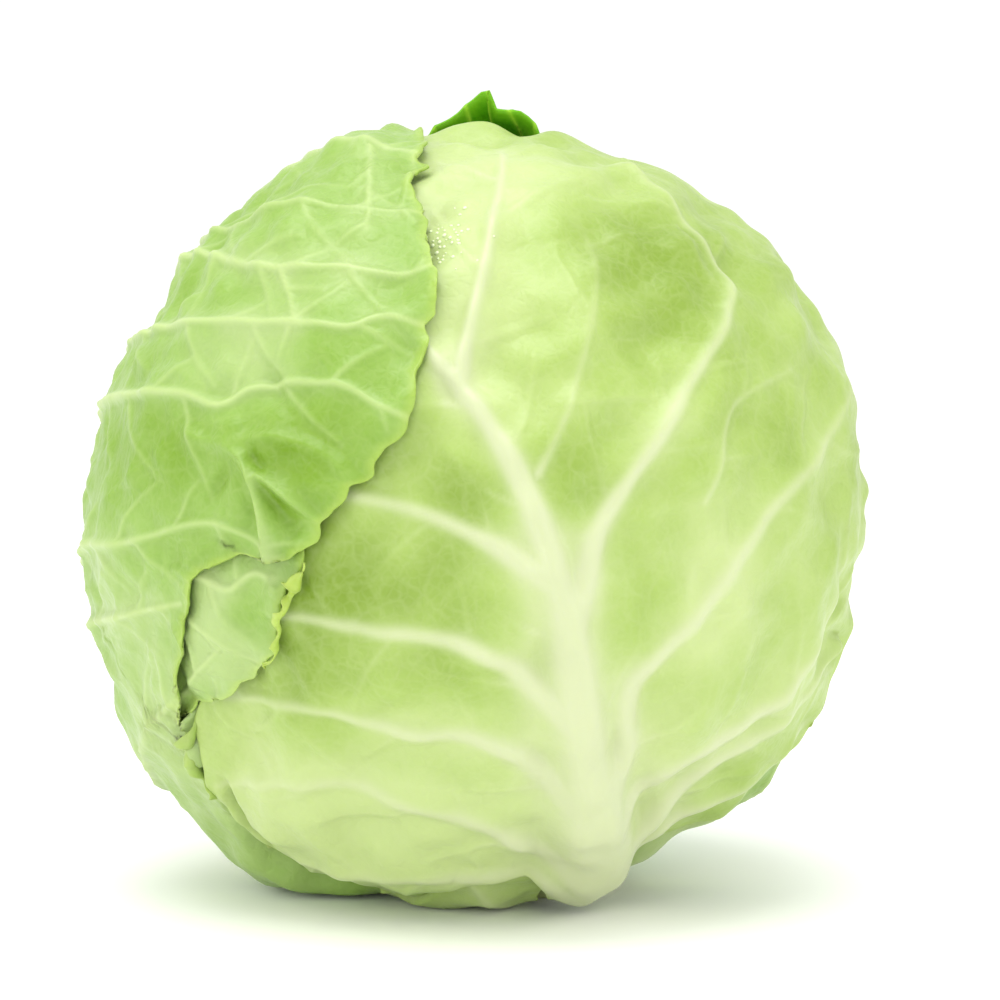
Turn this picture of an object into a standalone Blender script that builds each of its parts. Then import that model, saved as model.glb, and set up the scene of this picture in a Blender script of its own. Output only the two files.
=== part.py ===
"""A head of white cabbage, built from its separate leaves around the stem.

Metres, +Z up. The origin is the middle of the stem's cut face, which lies on the
ground, and the front of the head faces -Y. The head leans over to -X, so its own
axis is tilted: every leaf is placed by two angles in the head's frame. lon 0 faces
the front and grows to the right, and lat 90 is the top of the tilted axis.
"""

import math

import bmesh
import bpy
from mathutils import Vector

# Driving dimensions.
HEAD_RADIUS = 0.090
HEAD_CENTRE = Vector((-0.0175, 0.0, 0.089))
STEM_RADIUS = 0.0145
CORE_TOP = 0.014  # how far below the head's centre the core inside it ends
BLADE = 0.0018  # thickness of an outer leaf between its ribs
RIB_LIMIT = 0.010  # thickness of the fattest midrib, blade included
BASE_LAT = -78  # leaves start here, just clear of the stem

# The leaves packed under the outer ones, from the outside in.
INNER_LEAVES = 6
INNER_RADIUS = 0.080
INNER_PITCH = 0.0039
INNER_BLADE = 0.0016
LEAF_TURN = 137.5  # degrees round the stem from each leaf to the next
HEART_RADIUS = 0.0555
CLEARANCE = 0.0006

HEAD_TILT = math.atan2(-HEAD_CENTRE.x, HEAD_CENTRE.z)
UP = Vector((math.sin(HEAD_TILT), 0.0, math.cos(HEAD_TILT)))  # the world's +Z, in the head's frame


def clear_scene():
    for obj in list(bpy.data.objects):
        bpy.data.objects.remove(obj, do_unlink=True)


def new_collection(name):
    made = bpy.data.collections.new(name)
    bpy.context.scene.collection.children.link(made)
    return made


def new_material(name, colour, roughness):
    made = bpy.data.materials.new(name)
    made.use_nodes = True
    shader = made.node_tree.nodes["Principled BSDF"]
    shader.inputs["Base Color"].default_value = (*colour, 1.0)
    shader.inputs["Roughness"].default_value = roughness
    shader.inputs["Metallic"].default_value = 0.0
    return made


def place(name, mesh, material, collection, parent):
    obj = bpy.data.objects.new(name, mesh)
    mesh.materials.append(material)
    mesh.shade_smooth()
    collection.objects.link(obj)
    obj.parent = parent
    return obj


def heading(lon, lat):
    """The unit vector that leaves the head's centre at these angles, in its frame."""
    lon, lat = math.radians(lon), math.radians(lat)
    level = math.cos(lat)
    return Vector((level * math.sin(lon), -level * math.cos(lon), math.sin(lat)))


def chart(centre):
    """Outward, right and up vectors of the flat chart that a leaf is drawn on."""
    out = heading(*centre)
    up = (Vector((0, 0, 1)) - out * out.z).normalized()
    return out, up.cross(out), up


def outline_reach(centre, outline):
    """A function giving the leaf's reach in degrees from its centre at each bearing."""
    out, right, up = chart(centre)
    corners = []
    for lon, lat in outline:
        toward = heading(lon, lat)
        bearing = math.atan2(toward.dot(up), toward.dot(right))
        corners.append((bearing, math.degrees(toward.angle(out))))
    corners.sort()
    first, last = corners[0], corners[-1]
    corners = [(last[0] - math.tau, last[1]), *corners, (first[0] + math.tau, first[1])]

    def reach(bearing):
        for (a, near), (b, far) in zip(corners, corners[1:]):
            if a <= bearing <= b:
                return near + (far - near) * (bearing - a) / max(b - a, 1e-9)
        return corners[0][1]

    return reach


def swelling(toward, lon, lat, height, spread):
    """A rounded rise that fades out `spread` degrees from its middle."""
    away = math.degrees(toward.angle(heading(lon, lat)))
    return height * math.cos(math.pi / 2 * min(away / spread, 1)) ** 2


def rib_rise(toward, rib, height, width):
    """How far the midrib stands out here. It starts at its first point, and tapers."""
    spans = [(heading(*a), heading(*b)) for a, b in zip(rib, rib[1:])]
    nearest, along = math.inf, 0.0
    for index, (start, end) in enumerate(spans):
        run = end - start
        share = min(max((toward - start).dot(run) / run.length_squared, 0), 1)
        away = (toward - start - run * share).length * HEAD_RADIUS
        if away < nearest:
            nearest, along = away, (index + share) / len(spans)
    return height * (1 - 0.85 * along) * math.exp(-((nearest / (width * (1 - 0.5 * along))) ** 2))


def leaf_radius(toward, radius, lean, swellings):
    """Distance of a leaf's outer face from the head's centre, between its ribs."""
    lon, lat, amount = lean
    return radius + amount * toward.dot(heading(lon, lat)) + sum(swelling(toward, *each) for each in swellings)


def pressed(toward, radius):
    """The same distance where the ground is in the way, which presses the leaf flat."""
    down = -toward.dot(UP)
    return min(radius, HEAD_CENTRE.z / down) if down > 0 else radius


def disc_point(x, y):
    """A point of the square -1..1 moved onto the unit disc, as (share of the radius, bearing)."""
    u, v = x * math.sqrt(1 - y * y / 2), y * math.sqrt(1 - x * x / 2)
    return math.hypot(u, v), math.atan2(v, u)


def add_leaf(
    name, centre, reach, radius, rib, material, collection, parent,
    cells=14, lean=(0, 0, 0.0), swellings=(), rib_height=0.003, rib_width=0.007, blade=BLADE,
):
    """One leaf: a sheet bent round the head, with a raised midrib, given its thickness."""
    out, right, up = chart(centre)
    even = min(reach(math.radians(bearing)) for bearing in range(-180, 180, 10)) * 1.35
    bm = bmesh.new()
    bmesh.ops.create_grid(bm, x_segments=cells, y_segments=cells, size=1)
    thickness = []
    for vert in bm.verts:
        # Columns crowd towards the midrib, which runs down the middle of the grid.
        across = math.copysign(abs(vert.co.x) ** 1.35, vert.co.x)
        share, bearing = disc_point(across, vert.co.y)
        away = math.radians(even * share + (reach(bearing) - even) * share**3)
        side = right * math.cos(bearing) + up * math.sin(bearing)
        toward = (out * math.cos(away) + side * math.sin(away)).normalized()
        rise = rib_rise(toward, rib, rib_height, rib_width)
        vert.co = toward * pressed(toward, leaf_radius(toward, radius, lean, swellings) + rise)
        thickness.append(min(blade + rise, RIB_LIMIT) / RIB_LIMIT)
    mesh = bpy.data.meshes.new(name)
    bm.to_mesh(mesh)
    bm.free()
    leaf = place(name, mesh, material, collection, parent)
    group = leaf.vertex_groups.new(name="thickness")
    for index, weight in enumerate(thickness):
        group.add([index], weight, "REPLACE")
    wall = leaf.modifiers.new("thickness", "SOLIDIFY")
    wall.thickness = RIB_LIMIT
    wall.offset = -1
    wall.vertex_group = "thickness"
    return leaf


def add_turned(name, profile, material, collection, parent, steps=24):
    """A solid turned about the head's axis from (radius, height) points, top to bottom."""
    mesh = bpy.data.meshes.new(name)
    mesh.from_pydata([(r, 0, z) for r, z in profile], [(i, i + 1) for i in range(len(profile) - 1)], [])
    turned = place(name, mesh, material, collection, parent)
    screw = turned.modifiers.new("turn", "SCREW")
    screw.steps = steps
    screw.render_steps = steps
    screw.use_merge_vertices = True
    screw.merge_threshold = 0.00001
    return turned


def core_profile():
    """The core from its tip in the heart down to where the stem is cut through."""
    girths = [(0.004, 0.0145), (0.007, 0.030), (0.0095, 0.055), (0.0125, 0.073), (0.014, 0.083)]
    sides = [(radius, -depth) for radius, depth in girths]
    return [(0, -CORE_TOP), *sides, (STEM_RADIUS, -0.089), (STEM_RADIUS, -0.100), (0, -0.100)]


def stem(material, collection, cutters, axis):
    """The stem and the core above it, cut through level with the ground."""
    made = add_turned("stem", core_profile(), material, collection, axis, steps=32)
    bm = bmesh.new()
    bmesh.ops.create_cube(bm, size=0.1)
    mesh = bpy.data.meshes.new("ground_cutter")
    bm.to_mesh(mesh)
    bm.free()
    cutter = bpy.data.objects.new("ground_cutter", mesh)
    cutter.location = (0, 0, -0.05)
    cutter.hide_render = True
    cutter.display_type = "WIRE"
    cutters.objects.link(cutter)
    cut = made.modifiers.new("cut face", "BOOLEAN")
    cut.operation = "DIFFERENCE"
    cut.solver = "EXACT"
    cut.object = cutter
    return made


def heart(material, collection, axis):
    """The tight bud in the middle, hollow where the core runs up into it."""
    socket = [(radius + CLEARANCE, height) for radius, height in core_profile()[1:4]]
    mouth = socket[-1]
    steps = 12
    lowest = math.asin(mouth[0] / HEART_RADIUS)
    bud = []
    for step in range(steps + 1):
        angle = (math.pi - lowest) * step / steps
        bud.append((HEART_RADIUS * math.sin(angle), HEART_RADIUS * math.cos(angle)))
    inside = [(radius, height + CLEARANCE) for radius, height in reversed(socket[:-1])]
    tip = (0, -CORE_TOP + 2 * CLEARANCE)
    return add_turned("heart", [*bud, *inside, tip], material, collection, axis, steps=20)


def inner_leaf(index, material, collection, axis):
    """One of the leaves packed round the heart: each covers half of the head."""
    centre = (40 + LEAF_TURN * index, 8)
    half = centre[1] - BASE_LAT

    def reach(bearing):
        return half - 4 * max(math.sin(bearing), 0)

    return add_leaf(
        f"inner_leaf_{index + 1}", centre, reach, INNER_RADIUS - INNER_PITCH * index,
        [(centre[0], BASE_LAT), (centre[0], 20)], material, collection, axis,
        cells=11, rib_height=0.0004, blade=INNER_BLADE,
    )


def front_leaf(material, collection, axis):
    """The big pale leaf across the front, with the fat forked midrib."""
    centre = (12, 0)
    outline = [
        (12, -78), (34, -76), (44, -66), (62, -58), (76, -46), (82, -34), (84, -24), (96, -8), (106, 12),
        (108, 34), (100, 52), (72, 66), (45, 75), (20, 77), (0, 74), (-18, 60), (-34, 40),
        (-44, 20), (-50, 0), (-53, -14), (-60, -26), (-70, -38), (-74, -48), (-64, -60),
        (-44, -66), (-16, -67), (3, -70), (2, -77),
    ]
    return add_leaf(
        "front_leaf", centre, outline_reach(centre, outline), 0.0853,
        [(20, -78), (16, -62), (12, -38), (11, -10), (8, 13), (4, 23)],
        material, collection, axis, cells=20, lean=(60, 0, 0.0046),
        swellings=[(-30, -50, 0.003, 40), (86, -47, 0.007, 32), (88, 26, 0.0035, 38)],
        rib_height=0.007, rib_width=0.008,
    )


def left_leaf(material, collection, axis):
    """The outermost leaf, which wraps the left side from the back round to the front."""
    centre = (-100, 8)
    outline = [
        (-100, -78), (-87, -76), (-82, -66), (-74, -50), (-70, -40), (-61, -27), (-54, -15), (-47, -4),
        (-36, 4), (-25, 3), (-16, 10), (-6, 17), (0, 27), (3, 38), (4, 50), (4, 62), (10, 74),
        (30, 84), (180, 86), (-175, 72), (-176, 50), (-174, 25), (-172, 0), (-168, -28),
        (-160, -52), (-158, -68), (-150, -76),
    ]
    return add_leaf(
        "left_leaf", centre, outline_reach(centre, outline), 0.0905,
        [(-108, -78), (-112, -40), (-112, 0), (-108, 40), (-100, 66)],
        material, collection, axis, cells=20,
        swellings=[
            (-90, -34, 0.0065, 45), (-110, -68, 0.003, 26), (-10, 40, 0.001, 50), (-90, 45, -0.002, 45),
        ],
        rib_height=0.003,
    )


def left_under_leaf(material, collection, axis):
    """The leaf whose curled rim shows between the left leaf and the front leaf."""
    centre = (-82, 0)
    outline = [
        (-82, -77), (-72, -50), (-61, -30), (-52, -17), (-43, -16), (-36, -13), (-31, -8),
        (-26, -1), (-24, 8), (-28, 20), (-45, 32), (-80, 38), (-115, 34), (-140, 20),
        (-146, 0), (-140, -30), (-115, -60),
    ]
    return add_leaf(
        "left_under_leaf", centre, outline_reach(centre, outline), 0.0873,
        [(-84, -78), (-86, -40), (-84, 0), (-82, 30)],
        material, collection, axis, cells=16, rib_height=0.0003, blade=0.0013,
        swellings=[(-90, -34, 0.0055, 45), (-90, 45, -0.0025, 45), (-80, -79, -0.0055, 34)],
    )


def right_leaf(material, collection, axis):
    """The leaf that comes out from under the front leaf at the lower right."""
    centre = (115, -15)
    outline = [
        (115, -78), (78, -76), (66, -64), (66, -52), (70, -36), (72, -16), (74, 2), (78, 22), (90, 38),
        (112, 46), (135, 40), (148, 22), (152, 0), (150, -30), (150, -56), (146, -74),
    ]
    return add_leaf(
        "right_leaf", centre, outline_reach(centre, outline), 0.0858,
        [(115, -78), (112, -45), (112, -10), (115, 20)], material, collection, axis,
        swellings=[(103, -53, 0.0085, 34)], rib_height=0.002,
    )


def back_leaf(material, collection, axis):
    """The greener leaf at the back, whose tip stands up behind the top of the head."""
    centre = (170, 5)
    outline = [
        (170, -78), (136, -77), (126, -66), (122, -45), (112, -20), (110, 10), (108, 35), (100, 55),
        (90, 66), (88, 76), (92, 85), (-160, 84), (-155, 70), (-160, 50), (-158, 25),
        (-155, 0), (-158, -30), (-160, -60), (-166, -76),
    ]
    return add_leaf(
        "back_leaf", centre, outline_reach(centre, outline), 0.0834,
        [(170, -78), (172, -40), (170, 0), (165, 40)], material, collection, axis,
        swellings=[(95, 77, 0.0128, 14), (176, 0, 0.004, 20)], rib_height=0.0025,
    )


def base_leaf(material, collection, axis):
    """The short leaf under the front one. The head rests on the bulge of it."""
    centre = (-45, -72)
    outline = [
        (-45, -78), (-80, -77), (-78, -70), (-74, -64), (-62, -63.5), (-44, -69), (-16, -69.5),
        (-6, -70), (-4, -73), (-14, -77),
    ]
    return add_leaf(
        "base_leaf", centre, outline_reach(centre, outline), 0.0915,
        [(-45, -78), (-45, -68)], material, collection, axis, cells=10, rib_height=0.0008,
    )


def main():
    clear_scene()
    pieces = new_collection("cabbage_head")
    cutters = new_collection("cutters")
    pale = new_material("pale_leaf", (0.55, 0.72, 0.25), 0.42)
    green = new_material("green_leaf", (0.50, 0.74, 0.20), 0.42)
    dark = new_material("dark_leaf", (0.12, 0.34, 0.02), 0.40)
    cream = new_material("inner_leaf", (0.84, 0.88, 0.55), 0.45)
    flesh = new_material("stem_flesh", (0.76, 0.80, 0.52), 0.55)

    axis = bpy.data.objects.new("head_axis", None)
    axis.location = HEAD_CENTRE
    axis.rotation_euler = (0, -HEAD_TILT, 0)
    pieces.objects.link(axis)

    stem(flesh, pieces, cutters, axis)
    heart(cream, pieces, axis)
    for index in range(INNER_LEAVES):
        inner_leaf(index, cream, pieces, axis)
    base_leaf(pale, pieces, axis)
    back_leaf(dark, pieces, axis)
    right_leaf(green, pieces, axis)
    left_under_leaf(green, pieces, axis)
    front_leaf(pale, pieces, axis)
    left_leaf(green, pieces, axis)
    bpy.context.view_layer.update()


main()
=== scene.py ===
import math
import bpy
import numpy as np
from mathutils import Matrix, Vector


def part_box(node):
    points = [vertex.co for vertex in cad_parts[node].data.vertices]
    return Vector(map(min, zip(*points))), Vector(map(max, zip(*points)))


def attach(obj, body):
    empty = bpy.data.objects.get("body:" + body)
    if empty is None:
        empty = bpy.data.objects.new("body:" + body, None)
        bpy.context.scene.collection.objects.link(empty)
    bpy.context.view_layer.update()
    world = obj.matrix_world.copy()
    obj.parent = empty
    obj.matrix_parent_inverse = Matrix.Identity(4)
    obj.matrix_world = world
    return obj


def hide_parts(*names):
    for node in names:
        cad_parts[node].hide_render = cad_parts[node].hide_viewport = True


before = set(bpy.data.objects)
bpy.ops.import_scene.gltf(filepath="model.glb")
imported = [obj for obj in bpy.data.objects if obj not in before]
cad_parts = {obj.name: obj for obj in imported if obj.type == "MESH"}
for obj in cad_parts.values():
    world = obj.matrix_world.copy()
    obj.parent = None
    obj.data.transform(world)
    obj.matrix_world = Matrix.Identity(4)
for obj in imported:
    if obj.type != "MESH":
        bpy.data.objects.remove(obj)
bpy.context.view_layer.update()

# The heart's solid is round, so its middle is the middle of the head. The head's own axis
# runs from the stem's cut face, at the origin, up through that middle.
middle = np.mean(np.array(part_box("heart")), axis=0) * (1, 0, 1)
tilt = math.atan2(-middle[0], middle[2])
headTurn = np.array([
    [math.cos(tilt), 0, math.sin(tilt)],
    [0, 1, 0],
    [-math.sin(tilt), 0, math.cos(tilt)],
])
groundUp = headTurn @ (0, 0, 1)  # the world's +Z in the head's frame
headSize = 0.090  # metres for one radian of leaf
groundGap = 0.0002  # leaves stop this far above the floor
linkObject = bpy.context.scene.collection.objects.link


def toWorld(local):
    return middle + local @ headTurn


def unit(angles):
    # (lon, lat) in degrees to a direction: lon 0 faces the front, lat 90 is up the head's axis
    lon, lat = np.moveaxis(np.radians(np.asarray(angles, float)), -1, 0)
    return np.stack([np.cos(lat) * np.sin(lon), -np.cos(lat) * np.cos(lon), np.sin(lat)], -1)


def normalized(vectors):
    return vectors / np.linalg.norm(vectors, axis=-1, keepdims=True)


def ease(low, high, value):
    share = np.clip((value - low) / (high - low), 0, 1)
    return share * share * (3 - 2 * share)


def smoothMax(a, b, soft):
    near = np.maximum(soft - np.abs(a - b), 0) / soft
    return np.maximum(a, b) + near * near * soft / 4


def undulation(places, size, seed, waves=16):
    # a smooth random field around 0, whose swells are about `size` metres long
    rng = np.random.default_rng(seed)
    runs = normalized(rng.normal(size=(waves, 3))) * rng.uniform(0.7, 1.4, (waves, 1))
    phases = rng.uniform(0, math.tau, waves)
    return np.sin(places @ runs.T * (math.tau / size) + phases).sum(-1) / math.sqrt(waves / 2)


def smoothPath(points, step=0.02):
    # unit vectors along a smooth curve through the given directions
    ends = [2 * points[0] - points[1], *points, 2 * points[-1] - points[-2]]
    line = []
    for before, start, end, after in zip(ends, ends[1:], ends[2:], ends[3:]):
        count = max(2, int(np.linalg.norm(end - start) / step))
        for t in np.arange(count) / count:
            line.append(0.5 * (2 * start + (end - before) * t
                               + (2 * before - 5 * start + 4 * end - after) * t * t
                               + (3 * start - before - 3 * end + after) * t ** 3))
    return normalized(np.array([*line, points[-1]]))


def lineDistance(line, directions):
    # metres from each direction to the line, and how far along the line that is, 0 to 1
    start, run = line[:-1], line[1:] - line[:-1]
    square = (run * run).sum(1)
    towards, along = directions @ start.T, directions @ run.T
    startRun = (start * run).sum(1)
    share = np.clip((along - startRun) / square, 0, 1)
    gap = 2 - 2 * towards - 2 * share * (along - startRun) + share * share * square
    best = gap.argmin(1)
    rows = np.arange(len(directions))
    lengths = np.sqrt(square)
    reached = np.concatenate([[0], np.cumsum(lengths)])
    travel = (reached[best] + share[rows, best] * lengths[best]) / reached[-1]
    return np.sqrt(np.maximum(gap[rows, best], 0)) * headSize, travel


def crowded(cells, spots):
    # grid lines from -1 to 1, closer together round each spot (place, spread, how much)
    place = np.linspace(-1, 1, 2001)
    density = np.ones(2001)
    for spot, spread, amount in spots:
        density += amount * np.exp(-((place - spot) / spread) ** 2)
    reached = np.cumsum(density) - density[0]
    return np.interp(np.linspace(0, reached[-1], cells + 1), reached, place)


def profile(values, along):
    # the value at that share of the way through an evenly spaced list
    return np.interp(along, np.linspace(0, 1, len(values)), values)


class Leaf:
    # a sheet bent round the head, drawn on a flat chart round its own centre
    def __init__(self, values):
        self.values = values
        self.raster = None
        self.out = unit(values["centre"])
        self.up = normalized(np.array([0, 0, 1]) - self.out * self.out[2])
        self.right = np.cross(self.up, self.out)
        self.over = [leaves[name] for name in values.get("over", [])]
        self.under = [leaves[name] for name in values.get("under", [])]
        self.bearings = np.linspace(-math.pi, math.pi, 1441)
        corners = sorted(zip(*self.chartOf(unit(values["outline"]))[::-1]))
        bearing, reach = np.array(corners).T
        reach = np.interp(self.bearings, bearing, reach, period=math.tau)
        blur = np.hanning(2 * values.get("blur", 4) + 1)
        half = len(blur) // 2
        ring = np.concatenate([reach[-half - 1:-1], reach, reach[1:half + 1]])
        reach = np.convolve(ring, blur / blur.sum(), "valid")
        scallop, size = values.get("scallops", (0.002, 0.012))
        rim = self.direction(reach, self.bearings)
        wobble = undulation(rim * headSize, size, values["seed"] + 5)
        self.reaches = reach + scallop / headSize * (wobble - 0.3 * wobble ** 2)
        self.even = self.reaches.min() * 1.35
        self.veins = [(smoothPath(unit(path)), *rest) for path, *rest in values.get("veins", [])]
        self.veins += self.laterals(values.get("laterals"))
        self.folds = [(smoothPath(unit(path)), *rest) for path, *rest in values.get("folds", [])]

    def chartOf(self, directions):
        away = np.arccos(np.clip(directions @ self.out, -1, 1))
        return away, np.arctan2(directions @ self.up, directions @ self.right)

    def direction(self, away, bearing):
        away, bearing = away[..., None], bearing[..., None]
        side = self.right * np.cos(bearing) + self.up * np.sin(bearing)
        return self.out * np.cos(away) + side * np.sin(away)

    def reach(self, bearing):
        return np.interp(bearing, self.bearings, self.reaches)

    def laterals(self, plan):
        # veins that leave the midrib in pairs and curve up towards the margin
        if not plan:
            return []
        made = []
        midrib = smoothPath(unit(plan["midrib"]))
        rng = np.random.default_rng(self.values["seed"] + 9)
        for side in plan["sides"]:
            for share in np.linspace(*plan["span"], plan["count"]):
                share += rng.uniform(-0.02, 0.02)
                start = midrib[int(share * (len(midrib) - 1))]
                away, bearing = self.chartOf(start)
                x, y = away * math.cos(bearing), away * math.sin(bearing)
                length = plan["length"] * rng.uniform(0.85, 1.1)
                points = []
                for t in (0, 0.2, 0.45, 0.7, 1):
                    px = x + side * length * t
                    py = y + length * (plan["climb"] * t ** 1.5 + rng.uniform(-0.02, 0.02))
                    points.append(self.direction(np.array(math.hypot(px, py)),
                    np.array(math.atan2(py, px))))
                made.append((smoothPath(np.array(points)), plan["rise"], plan["width"], plan["tint"]))
        return made

    def relief(self, directions):
        # how far the veins stand out, how pale they are, and how pale the leaf is round them
        rise = np.zeros(len(directions))
        tint = np.zeros(len(directions))
        halo = np.zeros(len(directions))
        for line, rises, widths, strength in self.veins:
            near, away, along = self.nearTo(line, directions, widths)
            width = profile(widths, along)
            height = profile(rises, along) * (1 - ease(0.93, 1, along) * (rises[-1] < 0.0015))
            crest = np.exp(-(away / width) ** (2 + 220 * width))
            rise[near] += (height * (0.82 * crest + 0.18 * np.exp(-(away / width / 2.2) ** 2))) ** 3
            shown = profile(strength, along)
            tint[near] = np.maximum(tint[near], shown * np.exp(-(away / width / 0.95) ** 2))
            spread = np.minimum(width / 0.0025, 1) * shown
            halo[near] += spread * np.exp(-(away / (width * 2.2 + 0.002)) ** 2)
        return np.cbrt(rise), tint, np.minimum(halo, 1.3)

    def foldRelief(self, directions):
        rise = np.zeros(len(directions))
        for line, heights, width, *power in self.folds:
            near, away, along = self.nearTo(line, directions, (width,))
            rise[near] += profile(heights, along) * np.exp(-(away / width) ** (power[0] if power else 2))
        return rise

    def nearTo(self, line, directions, widths):
        centre = normalized(line.mean(0))
        spread = np.arccos(np.clip((line @ centre).min(), -1, 1)) + 5 * max(widths) / headSize
        near = np.nonzero(directions @ centre > math.cos(min(spread, math.pi)))[0]
        return near, *lineDistance(line, directions[near])

    def radius(self, directions, folded=True):
        # distance of the outer face from the middle of the head
        values = self.values
        away, bearing = self.chartOf(directions)
        share = np.clip(away / self.reach(bearing), 0, 1.2)
        own = np.full(len(directions), values["radius"])
        if "lean" in values:
            lon, lat, amount = values["lean"]
            own += amount * (directions @ unit((lon, lat)))
        for lon, lat, height, spread in values.get("swellings", []):
            angle = np.degrees(np.arccos(np.clip(directions @ unit((lon, lat)), -1, 1)))
            own += height * np.cos(np.pi / 2 * np.minimum(angle / spread, 1)) ** 2
        for height, size in values.get("puffs", []):
            own += height * undulation(directions * headSize, size, values["seed"] + int(size * 1e4))
        lat = np.degrees(np.arcsin(directions[:, 2]))
        tucked = ease(values["tuck"][0], values["tuck"][1], lat) if "tuck" in values else 0
        for lower in self.over:
            below = lower.storedRadius(directions)
            lowerAway, lowerBearing = lower.chartOf(directions)
            covered = 1 - ease(0.97, 1.06, lowerAway / lower.reach(lowerBearing))
            if lower in self.under:
                covered = covered * (1 - tucked)
            lying = below + values["blade"] + values.get("gap", 0.0006)
            raised = smoothMax(own, lying, 0.002)
            raised += values.get("hug", 0.7) * ease(0.72, 1, share) * (lying - raised)
            own += covered * (raised - own)
        height, size, start = values.get("frill", (0.0012, 0.02, 0.8))
        ruffle = undulation(directions * headSize, size, values["seed"] + 3)
        own += height * ease(start, 1.05, share) * ruffle
        if folded:
            own += self.foldRelief(directions)
        reached = own + self.relief(directions)[0]
        down = -(directions @ groundUp)
        floor = middle[2] / np.maximum(down, 0.2)
        for higher in self.under:
            above = higher.storedRadius(directions) - higher.values["blade"] - 0.0007
            higherAway, higherBearing = higher.chartOf(directions)
            covered = 1 - ease(1.0, 1.08, higherAway / higher.reach(higherBearing))
            if higher in self.over:
                covered = covered * tucked
            floor = np.minimum(floor, above + (1 - covered) * 0.02)
        return -smoothMax(-reached, -floor, 0.003)

    def storedRadius(self, directions):
        # the same without folds, from a raster over the chart, for the leaves that lie against it
        count, limit = 400, min(self.reaches.max() * 1.2, 3.0)
        if self.raster is None:
            x, y = np.meshgrid(*[np.linspace(-limit, limit, count)] * 2, indexing="ij")
            away, bearing = np.hypot(x, y).ravel(), np.arctan2(y, x).ravel()
            spots = self.direction(np.minimum(away, math.pi), bearing)
            self.raster = self.radius(spots, False).reshape(count, count)
        away, bearing = self.chartOf(directions)
        x, y = (np.clip((away * turn(bearing) / limit + 1) / 2, 0, 0.9999) * (count - 1)
                for turn in (np.cos, np.sin))
        i, j = x.astype(int), y.astype(int)
        u, v = x - i, y - j
        raster = self.raster
        return ((raster[i, j] * (1 - u) + raster[i + 1, j] * u) * (1 - v)
                + (raster[i, j + 1] * (1 - u) + raster[i + 1, j + 1] * u) * v)

    def sheet(self):
        # the outer face as a grid of points, with what the finish and the wall need
        values = self.values
        cells = values["cells"]
        lines = [crowded(cells, spots) for spots in values.get("crowd", ((), ()))]
        x, y = np.meshgrid(*lines, indexing="ij")
        u, v = x * np.sqrt(1 - y * y / 2), y * np.sqrt(1 - x * x / 2)
        share, bearing = np.hypot(u, v).ravel(), np.arctan2(v, u).ravel()
        reach = self.reach(bearing)
        away = self.even * share + (reach - self.even) * share ** 3
        rim = self.direction(reach, bearing)
        lift = np.zeros(len(away))
        for lon, lat, spread, turn, band in values.get("curls", []):
            angle = np.degrees(np.arccos(np.clip(rim @ unit((lon, lat)), -1, 1)))
            bend = math.radians(turn) / band * np.cos(np.pi / 2 * np.minimum(angle / spread, 1)) ** 2 + 1e-6
            past = np.maximum(band - (reach - away) * headSize, 0)
            away = away - (past - np.sin(bend * past) / bend) / headSize
            lift += (1 - np.cos(bend * past)) / bend
        directions = self.direction(away, bearing)
        points = directions * (self.radius(directions) + lift)[:, None]
        rise, tint, halo = self.relief(directions)
        edge = ease(0.0, 1.0, 1 - (reach - away) * headSize / 0.004)
        green = np.zeros(len(away))
        # Patches set the leaf's tone; a few are painted shade or painted light, noted where they are
        # listed.
        for lon, lat, amount, spread in values.get("patches", []):
            angle = np.degrees(np.arccos(np.clip(directions @ unit((lon, lat)), -1, 1)))
            green += amount * np.exp(-(angle / spread) ** 2)
        # Painted shade and highlight on the folds: the valleys turn greener and darker, the crests paler.
        fold = self.foldRelief(directions)
        green -= np.clip(fold / 0.002, -1, 1.5) * values.get("foldShade", 0)
        tint = np.maximum(tint, ease(0.0008, 0.0045, fold) * values.get("foldShade", 0) * 2)
        wall = values["blade"] * (1 - 0.45 * share ** 4) + rise
        fields = {"rib": tint, "halo": halo, "edge": edge, "green": green}
        return points.reshape(cells + 1, cells + 1, 3), wall, fields


def gridNormals(points):
    alongX, alongY = np.gradient(points, axis=0), np.gradient(points, axis=1)
    return normalized(np.cross(alongX, alongY))


def rimOrder(cells, stride):
    # the grid's border, once round anticlockwise, every `stride` points
    line = list(range(0, cells, stride))
    size = cells + 1
    return ([i * size for i in line] + [cells * size + j for j in line]
            + [(cells - i) * size + cells for i in line] + [cells - j for j in line])


def quads(count):
    size = count + 1
    i, j = np.meshgrid(np.arange(count), np.arange(count), indexing="ij")
    first = (i * size + j).ravel()
    return np.stack([first, first + size, first + size + 1, first + 1], 1)


def newPiece(name, vertices, faces, material=None):
    # a mesh object, smooth and finished unless it is only a helper
    mesh = bpy.data.meshes.new(name)
    mesh.from_pydata(vertices, [], faces)
    if material:
        mesh.shade_smooth()
        mesh.materials.append(material)
    piece = bpy.data.objects.new(name, mesh)
    linkObject(piece)
    return piece


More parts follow.
